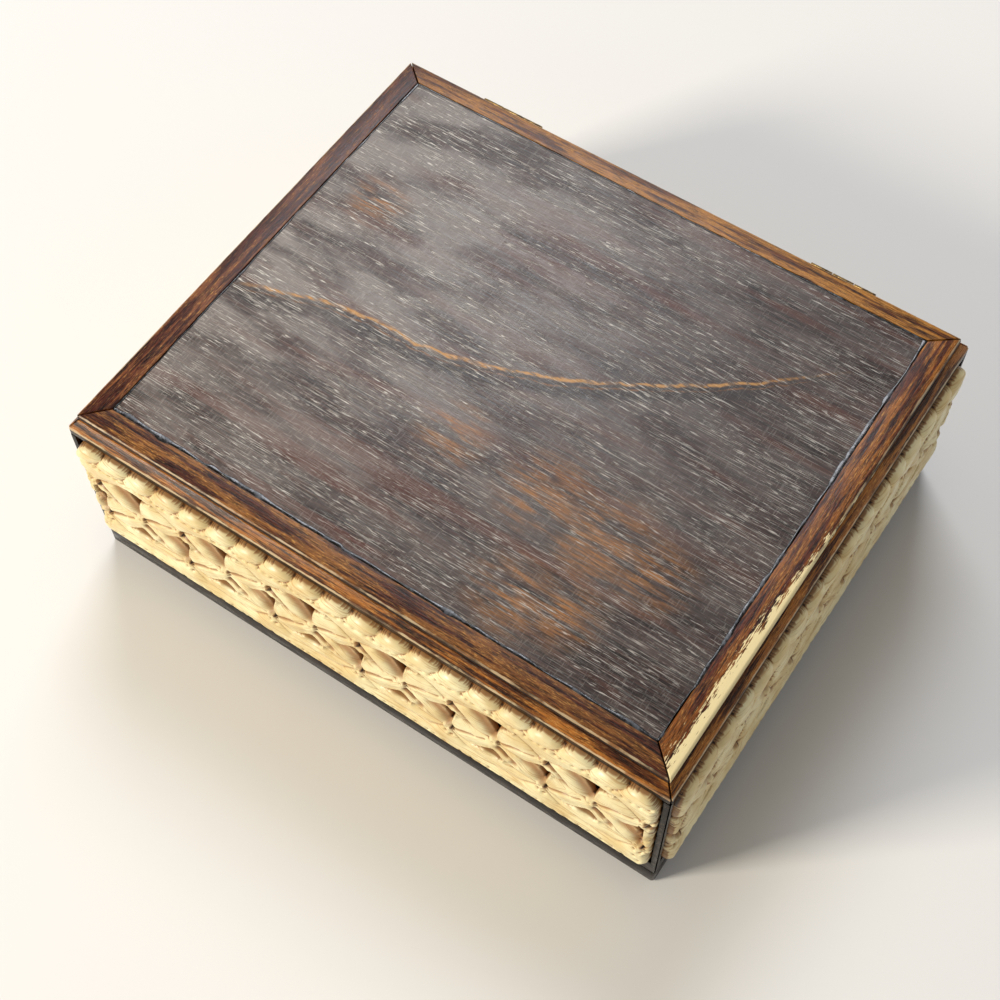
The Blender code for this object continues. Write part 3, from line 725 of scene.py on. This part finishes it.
@dataclass
class Carving:
    """An openwork carved panel for one side, all sizes in metres.

    The leaves run between nodes on three levels.  Holes are cut over and under each middle node and
    between the leaves, and a rope of leaning lobes runs along the top.
    """

    side: Side
    length: float
    height: float
    bottom: float
    face: float
    back: float
    motif: Motif = Motif()
    grid: float = 0.26 * MM
    pitch_near: float = 23.5 * MM
    end_border: float = 2.8 * MM
    low_share: float = 0.26
    middle_share: float = 0.465
    upper_share: float = 0.62
    rope_foot_share: float = 0.87
    leaf_half_width: float = 5.0 * MM
    rope_near: float = 7.3 * MM
    rope_lean: float = 2.2 * MM
    scallop: float = 1.3 * MM
    end_scallop_near: float = 5.4 * MM
    end_scallop: float = 0.6 * MM
    corner: float = 3.2 * MM
    top_level: float = 2.35 * MM
    ground: float = 1.35 * MM
    stipples: int = 46

    def __post_init__(self) -> None:
        """Work out the pattern's steps."""
        self.half = self.length / 2
        self.cells = max(1, round((self.length - 2 * self.end_border) / self.pitch_near))
        self.pitch = (self.length - 2 * self.end_border) / self.cells
        self.low = self.low_share * self.height
        self.middle = self.middle_share * self.height
        self.upper = self.upper_share * self.height
        self.rope_foot = self.rope_foot_share * self.height
        self.rope = self.length / max(1, round(self.length / self.rope_near))

    def top_edge(self, x: Grid) -> Grid:
        """Return the height of the scalloped top edge."""
        swell = np.abs(np.sin(np.pi * (x + self.half) / self.rope)) ** 0.6
        past = np.maximum(0, np.abs(x) - (self.half - self.corner))
        fall = self.corner - np.sqrt(np.maximum(0, self.corner ** 2 - np.minimum(past, self.corner) ** 2))
        return self.height - self.scallop * (1 - swell) - fall

    def outer(self, x: Grid, z: Grid) -> Grid:
        """Return a place's depth inside the outer outline."""
        lobes = max(1, round(self.height / self.end_scallop_near))
        swell = np.abs(np.sin(np.pi * z / self.height * lobes)) ** 0.6
        corner = np.maximum(0, self.corner - z)
        fall = self.corner - np.sqrt(np.maximum(0, self.corner ** 2 - corner ** 2))
        side = self.half - self.end_scallop * (1 - swell) - 0.6 * fall - np.abs(x)
        return np.minimum(np.minimum(self.top_edge(x) - z, side), z)

    def cell(self, x: Grid) -> Grid:
        """Return the distance along the panel from the nearest middle node."""
        steps = x / self.pitch + (self.cells - 1) / 2
        return (steps - np.round(steps)) * self.pitch

    def repeats(self, x: Grid, z: Grid):
        """Yield places in millimetres from the nearest middle node and from the ones beside it."""
        near = self.cell(x) / MM
        for step in (-1, 0, 1):
            yield near + step * self.pitch / MM, (z - self.middle) / MM

    def gap_to(self, x: Grid, z: Grid, lines: tuple) -> Grid:
        """Return how far places lie from the nearest of a motif's lines."""
        gaps = [line_gap(u, w, line) for u, w in self.repeats(x, z) for line in lines]
        return np.minimum.reduce(gaps) * MM

    def holes(self, x: Grid, z: Grid) -> Grid:
        """Return how far a place lies outside the nearest hole; negative inside one."""
        inner = self.half - self.end_border - np.abs(x) + 0.6 * MM
        outlines = [self.motif.rounded(points) for points in (self.motif.arch, self.motif.kite, self.motif.triangle)]
        depths = [outline_depth(u, w, points) for u, w in self.repeats(x, z) for points in outlines]
        return -np.minimum(np.maximum.reduce(depths) * MM, inner)

    def solid(self, x: Grid, z: Grid) -> Grid:
        """Return a place's depth inside the wood."""
        return np.minimum(self.outer(x, z), self.holes(x, z))

    def snapped(self, x: Grid, z: Grid) -> tuple[Grid, Grid]:
        """Move places near an outline onto it."""
        step = 0.02 * MM
        for _ in range(3):
            value = self.solid(x, z)
            slope_x = (self.solid(x + step, z) - self.solid(x - step, z)) / (2 * step)
            slope_z = (self.solid(x, z + step) - self.solid(x, z - step)) / (2 * step)
            size = np.maximum(slope_x ** 2 + slope_z ** 2, 0.05)
            limit = 0.35 * self.grid
            x = x - np.clip(value * slope_x / size, -limit, limit)
            z = z - np.clip(value * slope_z / size, -limit, limit)
        return x, z

    def leaves(self) -> list:
        """Return each leaf's start and end."""
        found = []
        for number in range(-1, self.cells + 1):
            x = (number - (self.cells - 1) / 2) * self.pitch
            for way in (-1, 1):
                for height in (self.low, self.upper):
                    found.append(((x, self.middle), (x + way * self.pitch / 2, height)))
            found.append(((x - self.pitch / 2, self.low), (x + self.pitch / 2, self.low)))
        return found

    def fibres(self, x: Grid, z: Grid) -> tuple[Grid, Grid]:
        """Return the place along and across the fibres, which follow the nearest leaf."""
        along = x.copy()
        across = z.copy()
        best = np.full_like(x, 1.0)
        for start, end in self.leaves():
            run = Vector((end[0] - start[0], end[1] - start[1]))
            way = run.normalized() if run.x > 0 else -run.normalized()
            s = ((x - start[0]) * run.x + (z - start[1]) * run.y) / run.length_squared
            c = -(x - start[0]) * way.y + (z - start[1]) * way.x
            v = np.abs(c) / (self.leaf_half_width * np.sin(np.pi * np.clip(s, 0.02, 0.98)) ** 0.8)
            on = (s > 0) & (s < 1) & (v < best)
            best = np.where(on, v, best)
            along = np.where(on, (x - start[0]) * way.x + (z - start[1]) * way.y + start[0] * 3.1, along)
            across = np.where(on, c * (1 + 0.5 * v) + start[1] + start[0] * 0.3, across)
        return along, across

    def relief(self, x: Grid, z: Grid) -> tuple[Grid, Grid, Grid, Grid]:
        """Return the carving's height, and the run of its fibres, at each place.

        Args:
            x: Places along the panel.
            z: Heights on the panel.

        Returns:
            The height above the case's face, the place along and across the fibres, and how much painted shade lies in
            the cuts, seams and rolls.
        """
        motif = self.motif
        hole = np.maximum(self.holes(x, z), 0)
        seam = self.gap_to(x, z, motif.seams)
        rolled = self.gap_to(x, z, motif.rolls)
        body = 1 - np.exp(-np.minimum(seam, hole + 0.3 * MM) / (1.1 * MM))
        level = self.ground - 0.45 * MM + 1.15 * MM * body
        level = level - 0.28 * MM * bell(seam, 0.28 * MM)
        level = level - 1.05 * MM * bell(rolled, 1.35 * MM)
        lip = bell(hole - 0.40 * MM, 0.30 * MM) * (rolled > 1.6 * MM)
        level = level + 0.30 * MM * lip
        # Painted shade: a dark share along the seams and the rolled leaf edges, and below in the cuts, where side light
        # casts shadow.
        stain = 0.45 * bell(seam, 0.45 * MM) + 0.42 * bell(rolled, 1.3 * MM)
        for lines, depth_mm, width_mm, shade_share in motif.cuts:
            cut = bell(self.gap_to(x, z, getattr(motif, lines)), width_mm * MM)
            level = level - depth_mm * MM * cut
            stain = np.maximum(stain, shade_share * cut)
        level = self.add_bosses(x, z, level)
        along, across = self.fibres(x, z)
        level, along, across = self.add_rope(x, z, level, along, across)
        return self.add_punches(x, z, level), along, across, stain * (z < self.rope_foot)

    def add_bosses(self, x: Grid, z: Grid, level: Grid) -> Grid:
        """Raise a small punched boss on every node, and sink the deep dots beside the holes."""
        for u, w in self.repeats(x, z):
            for across, up in self.motif.nodes:
                gap = np.hypot(u - across, w - up)
                level = np.maximum(level, (self.ground + 0.7 * MM * np.clip(1 - (gap / 1.3) ** 2, 0, 1)) * (gap < 1.3))
                level = level - 0.75 * MM * bell(gap, 0.45)
            for across, up in self.motif.dots:
                level = level - 0.9 * MM * np.exp(-(((u - across) / 0.5) ** 2) - ((w - up) / 0.36) ** 2)
        return level

    def add_rope(self, x, z, level, along, across):
        """Raise the rope of leaning lobes along the top."""
        top = self.top_edge(x)
        share = np.clip((z - self.rope_foot) / np.maximum(top - self.rope_foot, 1e-6), 0, 1)
        turn = (x + self.half + self.rope_lean * (1 - share) ** 1.4) / self.rope
        lobe = turn - np.floor(turn)
        ends = np.minimum(lobe, 1 - lobe) * self.rope
        tile = 1 - np.exp(-ends / (0.55 * MM))
        swell = 0.55 + 0.45 * np.clip(4 * lobe * (1 - lobe), 0, 1) ** 0.6
        dome = np.sqrt(np.clip(1 - 0.8 * (2 * share - 0.95) ** 2, 0, 1))
        shape = self.ground - 0.5 * MM + (self.top_level - self.ground + 0.5 * MM) * dome * swell * (0.45 + 0.55 * tile)
        on = z > self.rope_foot
        foot = bell(z - self.rope_foot, 0.3 * MM)
        level = np.where(on, shape, level) - 0.35 * MM * foot
        along = np.where(on, x + np.floor(turn) * 7 * MM, along)
        across = np.where(on, z + 3.0 * MM * (lobe - 0.45) ** 2 + np.floor(turn) * 3 * MM, across)
        return level, along, across

    def add_punches(self, x: Grid, z: Grid, level: Grid) -> Grid:
        """Punch the rows of dots under the rope and along the bottom, and the stipple at the ends."""
        draw = np.random.default_rng(7)
        for row, gap, deep in ((self.rope_foot - 0.3 * MM, 1.9 * MM, 0.75 * MM), (1.35 * MM, 2.8 * MM, 1.0 * MM),
                               (self.rope_foot + 1.5 * MM, 3.4 * MM, 0.35 * MM)):
            count = int((self.length - 2 * self.end_border) / gap)
            for number in range(count):
                px = -self.half + self.end_border + (number + 0.5 + 0.25 * draw.uniform(-1, 1)) * gap
                pz = row + 0.25 * MM * draw.uniform(-1, 1)
                wide = 0.42 * MM * draw.uniform(0.7, 1.4)
                level = self.punch(x, z, level, px, pz, wide, 0.30 * MM, deep)
        for way in (-1, 1):
            for _ in range(self.stipples):
                px = way * (self.half - draw.uniform(0.6, 3.6) * MM)
                pz = draw.uniform(0.06, 0.80) * self.height
                level = self.punch(x, z, level, px, pz, 0.34 * MM, 0.26 * MM, 0.55 * MM)
        return level

    @staticmethod
    def punch(x, z, level, px, pz, wide, tall, depth):
        """Lower the surface in one small oval dent."""
        columns = np.abs(x[0] - px) < 3 * wide
        rows = np.abs(z[:, 0] - pz) < 3 * tall
        block = np.ix_(rows, columns)
        dent = np.exp(-(((x[block] - px) / wide) ** 2) - ((z[block] - pz) / tall) ** 2)
        level[block] = level[block] - depth * dent
        return level

    def hollows(self, level: Grid) -> Grid:
        """Return how deep each place lies below its surroundings, from 0 to 1."""
        reach = max(1, round(0.9 * MM / self.grid))
        soft = level
        for axis in (0, 1):
            padded = np.pad(soft, [(reach, reach) if axis == k else (0, 0) for k in (0, 1)], mode="edge")
            sums = np.cumsum(padded, axis=axis)
            width = 2 * reach
            if axis == 0:
                soft = (sums[width:] - sums[:-width]) / width
            else:
                soft = (sums[:, width:] - sums[:, :-width]) / width
        return np.clip((soft - level) / (0.55 * MM), 0, 1)

    def build(self) -> bpy.types.Object:
        """Return the carved panel as a closed mesh object in its place."""
        columns = round(self.length / self.grid) + 1
        rows = round(self.height / self.grid) + 1
        deselect()
        bpy.ops.mesh.primitive_grid_add(x_subdivisions=columns - 1, y_subdivisions=rows - 1, size=1.0)
        piece = bpy.context.object
        places = self.places(piece.data).reshape(rows, columns, 3)
        x = places[:, :, 0] * self.length
        z = (places[:, :, 1] + 0.5) * self.height
        value = self.solid(x, z)
        middle = (value[1:, 1:] + value[:-1, 1:] + value[1:, :-1] + value[:-1, :-1]) / 4
        keep = middle > 0
        touched = np.zeros((rows, columns), dtype=int)
        for row in (0, 1):
            for column in (0, 1):
                touched[row:rows - 1 + row, column:columns - 1 + column] += keep
        edge = (touched > 0) & (touched < 4)
        x[edge], z[edge] = self.snapped(x[edge], z[edge])
        level, along, across, stain = self.relief(x, z)
        outer = np.clip(self.outer(x, z) / (1.3 * MM), 0, 1)
        hole = np.clip(self.holes(x, z) / (0.30 * MM), 0, 1)
        level = np.minimum(level - 0.95 * MM * (1 - outer) ** 2.2 - 0.25 * MM * (1 - hole) ** 2, self.top_level)
        # Painted shade: darker the deeper a place lies below its surroundings, and in the cuts, seams and rolls.
        recess_shade = np.maximum(self.hollows(level), stain)
        places[:, :, 0] = x
        places[:, :, 1] = self.face - level
        places[:, :, 2] = z + self.bottom
        piece.data.vertices.foreach_set("co", places.reshape(-1))
        self.add_field(piece.data, "recess_shade", recess_shade)
        self.add_runs(piece.data, along, across)
        self.cut_and_close(piece, keep)
        piece.data.transform(self.side.turn)
        piece.data.update()
        return piece

    @staticmethod
    def places(mesh) -> Grid:
        """Return where the mesh's vertices are, as one long row."""
        found = np.empty(len(mesh.vertices) * 3)
        mesh.vertices.foreach_get("co", found)
        return found

    @staticmethod
    def add_field(mesh, name: str, values: Grid) -> None:
        """Store one value for each vertex under a name."""
        field = mesh.attributes.new(name, "FLOAT", "POINT")
        field.data.foreach_set("value", values.reshape(-1).astype(np.float32))

    @staticmethod
    def add_runs(mesh, along: Grid, across: Grid) -> None:
        """Store the run of the fibres on the mesh."""
        corners = np.empty(len(mesh.loops), dtype=np.int64)
        mesh.loops.foreach_get("vertex_index", corners)
        for old in list(mesh.uv_layers):
            mesh.uv_layers.remove(old)
        runs = np.stack([along.reshape(-1)[corners], across.reshape(-1)[corners]], axis=1)
        mesh.uv_layers.new(name="grain").data.foreach_set("uv", runs.reshape(-1).astype(np.float32))

    def cut_and_close(self, piece, keep: Grid) -> None:
        """Delete the faces in the holes, and give the rest its inner walls and its flat back."""
        mesh = piece.data
        mesh.polygons.foreach_set("select", ~keep.reshape(-1))
        bpy.context.tool_settings.mesh_select_mode = (False, False, True)
        bpy.ops.object.mode_set(mode="EDIT")
        bpy.ops.mesh.delete(type="FACE")
        bpy.ops.mesh.select_mode(type="EDGE")
        bpy.ops.mesh.select_all(action="DESELECT")
        bpy.ops.mesh.select_non_manifold(extend=False)
        bpy.ops.mesh.extrude_edges_move()
        bpy.ops.object.mode_set(mode="OBJECT")
        first = len(mesh.vertices)
        picked = np.empty(first, dtype=bool)
        mesh.vertices.foreach_get("select", picked)
        places = self.places(mesh).reshape(-1, 3)
        places[picked, 1] = self.back
        mesh.vertices.foreach_set("co", places.reshape(-1))
        # Mark the inner walls, which the lime finish paints with shade.
        self.add_field(mesh, "wall", picked)
        bpy.ops.object.mode_set(mode="EDIT")
        bpy.ops.mesh.fill(use_beauty=False)
        bpy.ops.mesh.select_all(action="SELECT")
        bpy.ops.mesh.normals_make_consistent(inside=False)
        bpy.ops.object.mode_set(mode="OBJECT")
        bpy.ops.object.shade_smooth_by_angle(angle=math.radians(50))


@dataclass
class Case:
    """The base, the walls, the rim and the carved panels."""

    wall_easing_mm: float = 0.35
    rim_easing_mm: float = 0.25
    board_easing_mm: float = 0.2
    felt_easing_mm: float = 0.3

    def build(self) -> None:
        """Dress the case's pieces."""
        for side in Side:
            wall = "wall_" + side.word
            dress(eased_copy(wall, self.wall_easing_mm), side.word + "_wall", CASE_VARNISH, Body.CASE,
                  "dark_wood", wall)
            rim = "rim_" + side.word
            dress(eased_copy(rim, self.rim_easing_mm), side.word + "_rim_strip", RIM_STRIPS[side], Body.CASE,
                  "rim_wood", rim)
            self.carve(side)
        dress(eased_copy("base_board", self.board_easing_mm), "bottom_board", CASE_VARNISH, Body.CASE, "dark_wood",
              "base_board")
        dress(eased_copy("floor_lining", self.felt_easing_mm), "floor_felt", FELT, Body.CASE, "felt", "floor_lining")

    @staticmethod
    def carve(side: Side) -> None:
        """Carve one side's panel where the frame has it."""
        node = "carved_panel_" + side.word
        low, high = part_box(node)
        base_low, base_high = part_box("base_board")
        long_axis, face_axis = (0, 1) if side.along_x else (1, 0)
        inner = min(abs(low[face_axis]), abs(high[face_axis]))
        carving = Carving(side, high[long_axis] - low[long_axis], high[2] - low[2], low[2],
                          -(base_high[face_axis] - base_low[face_axis]) / 2, -inner)
        dress(carving.build(), side.word + "_carving", LIME, Body.CASE, "carved_wood", node)


@dataclass
class Lid:
    """The lid's board, its four strips, the filler in their joint and the felt below."""

    strip_easing_mm: float = 0.22
    board_easing_mm: float = 0.1
    felt_easing_mm: float = 0.3
    bead_radius_mm: float = 0.42
    bead_bulk: tuple = (1.0, 0.8, 0.45, 0.45)
    bead_lump_share: float = 0.5
    bead_step_mm: float = 0.7
    bead_rise_mm: float = 0.07

    def build(self) -> None:
        """Dress the lid's pieces."""
        for side in Side:
            node = "lid_strip_" + side.word
            dress(eased_copy(node, self.strip_easing_mm), side.word + "_lid_strip", LID_STRIPS[side], Body.LID,
                  "rim_wood", node)
        dress(eased_copy("lid_panel", self.board_easing_mm, 2), "lid_board", LID_BOARD, Body.LID, "lid_wood",
              "lid_panel")
        dress(eased_copy("lid_lining", self.felt_easing_mm), "lid_felt", FELT, Body.LID, "felt", "lid_lining")
        self.fill_joint()

    def fill_joint(self) -> None:
        """Run an uneven bead of filler round the board."""
        low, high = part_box("lid_panel")
        draw = np.random.default_rng(3)
        corners = [(low[0], low[1]), (high[0], low[1]), (high[0], high[1]), (low[0], high[1])]
        for number, side in enumerate(Side):
            start = Vector((*corners[number], high[2]))
            end = Vector((*corners[(number + 1) % 4], high[2]))
            length = (end - start).length
            sections = max(8, round(length / (self.bead_step_mm * MM)))
            deselect()
            radius = self.bead_radius_mm * MM * self.bead_bulk[number]
            bpy.ops.mesh.primitive_cylinder_add(vertices=8, radius=radius, depth=length, end_fill_type="TRIFAN")
            bead = bpy.context.object
            bead.rotation_mode = "QUATERNION"
            bead.rotation_quaternion = Vector((0, 0, 1)).rotation_difference(end - start)
            bead.location = (start + end) / 2
            bpy.ops.object.mode_set(mode="EDIT")
            way = (end - start).normalized()
            for cut in range(1, sections):
                bpy.ops.mesh.select_all(action="SELECT")
                bpy.ops.mesh.bisect(plane_co=start + way * length * cut / sections, plane_no=way)
            bpy.ops.object.mode_set(mode="OBJECT")
            settle(bead)
            knots = np.cumsum(draw.uniform(1.2, 5.0, 200)) * MM
            swells = np.exp(self.bead_lump_share * draw.normal(0, 1, 200))
            shifts = draw.normal(0, 0.3, 200)
            for corner in bead.data.vertices:
                run = (corner.co - start).dot(way)
                spine = start + way * run
                swell = min(float(np.interp(run, knots, swells)), 1.8)
                shift = Vector((-way.y, way.x, 0)) * radius * float(np.interp(run, knots, shifts))
                corner.co = spine + (corner.co - spine) * swell + shift
                corner.co.z = min(corner.co.z, high[2] + self.bead_rise_mm * MM)
            bpy.ops.object.shade_smooth_by_angle(angle=math.radians(60))
            dress(bead, side.word + "_filler", FILLER, Body.LID, "lid_wood")


@dataclass
class Hinges:
    """The two butt hinges and their nails."""

    hands: tuple = ("left", "right")

    def build(self) -> None:
        """Dress the hinges' pieces."""
        for hand in self.hands:
            for part, body in (("case_leaf", Body.CASE), ("lid_leaf", Body.LID), ("pin", Body.CASE)):
                node = "hinge_{}_{}".format(hand, part)
                dress(eased_copy(node, 0.06, 2), "{}_hinge_{}".format(hand, part), BRASS, body, "hinge_brass", node)
            for label, body in (("case", Body.CASE), ("lid", Body.LID)):
                for number in (1, 2):
                    node = "{}_nail_{}_{}".format(label, hand, number)
                    dress(eased_copy(node, 0.08, 2), "{}_{}_nail_{}".format(label, hand, number), BRASS, body,
                          "hinge_brass", node)


@dataclass
class Studio:
    """The floor, the lights and the camera at the photograph's angle."""

    eye: tuple = (0.11208, -0.17330, 0.35721)
    look: tuple = (-0.28296, 0.41331, -0.86551)
    up: tuple = (-0.48224, 0.71873, 0.50087)
    focal_px: float = 1715.0
    frame_px: float = 1000.0
    sensor_mm: float = 36.0
    floor_size: float = 12.0
    ambient: float = 0.35

    def build(self) -> None:
        """Set up the studio."""
        scene = bpy.context.scene
        scene.view_settings.view_transform = "Standard"
        self.lay_floor()
        self.light_world(scene)
        self.add_lamp("window", (-0.75, 1.15, 1.55), (-0.02, 0.02, 0.05), 0.9, 26.0, "#f4f7ff")
        self.add_lamp("key", (-0.75, -0.95, 0.62), (0.0, -0.05, 0.03), 0.30, 17.0, "#fff6e6")
        self.place_camera(scene)

    def lay_floor(self) -> None:
        """Lay the pale floor."""
        deselect()
        bpy.ops.mesh.primitive_plane_add(size=self.floor_size)
        floor = bpy.context.object
        floor.name = "studio_floor"
        floor.data.materials.append(FLOOR.material())

    def light_world(self, scene) -> None:
        """Light the scene softly from all round, and show white behind it."""
        world = bpy.data.worlds.new("studio")
        scene.world = world
        world.use_nodes = True
        tree = world.node_tree
        background = tree.nodes["Background"]
        seen = add_node(tree, "ShaderNodeLightPath").outputs["Is Camera Ray"]
        strength = add_node(tree, "ShaderNodeMapRange", None, {
            "Value": seen, "To Min": self.ambient, "To Max": 1.0})
        background.inputs["Color"].default_value = colour("#f7f6f4")
        tree.links.new(strength.outputs["Result"], background.inputs["Strength"])

    @staticmethod
    def add_lamp(name: str, place: tuple, target: tuple, size: float, power: float, tint: str) -> None:
        """Add a soft square lamp that points at a target."""
        lamp = bpy.data.lights.new(name, "AREA")
        lamp.size = size
        lamp.energy = power
        lamp.color = colour(tint)[:3]
        holder = bpy.data.objects.new(name, lamp)
        holder.location = place
        holder.rotation_euler = (Vector(target) - Vector(place)).to_track_quat("-Z", "Y").to_euler()
        bpy.context.scene.collection.objects.link(holder)

    def place_camera(self, scene) -> None:
        """Place the camera where the photograph was taken from."""
        data = bpy.data.cameras.new("camera")
        data.sensor_width = self.sensor_mm
        data.lens = self.sensor_mm * self.focal_px / self.frame_px
        data.clip_start = 0.01
        camera = bpy.data.objects.new("camera", data)
        back = -Vector(self.look).normalized()
        right = Vector(self.look).cross(Vector(self.up)).normalized()
        up = back.cross(right).normalized()
        turn = Matrix((right, up, back)).transposed().to_4x4()
        camera.matrix_world = Matrix.Translation(self.eye) @ turn
        scene.collection.objects.link(camera)
        scene.camera = camera


def main() -> None:
    """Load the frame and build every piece."""
    logging.basicConfig(level=logging.INFO, format="%(message)s")
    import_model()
    for part in (Case(), Lid(), Hinges(), Studio()):
        part.build()
        LOG.info("built %s", type(part).__name__)


if __name__ == "__main__":
    main()
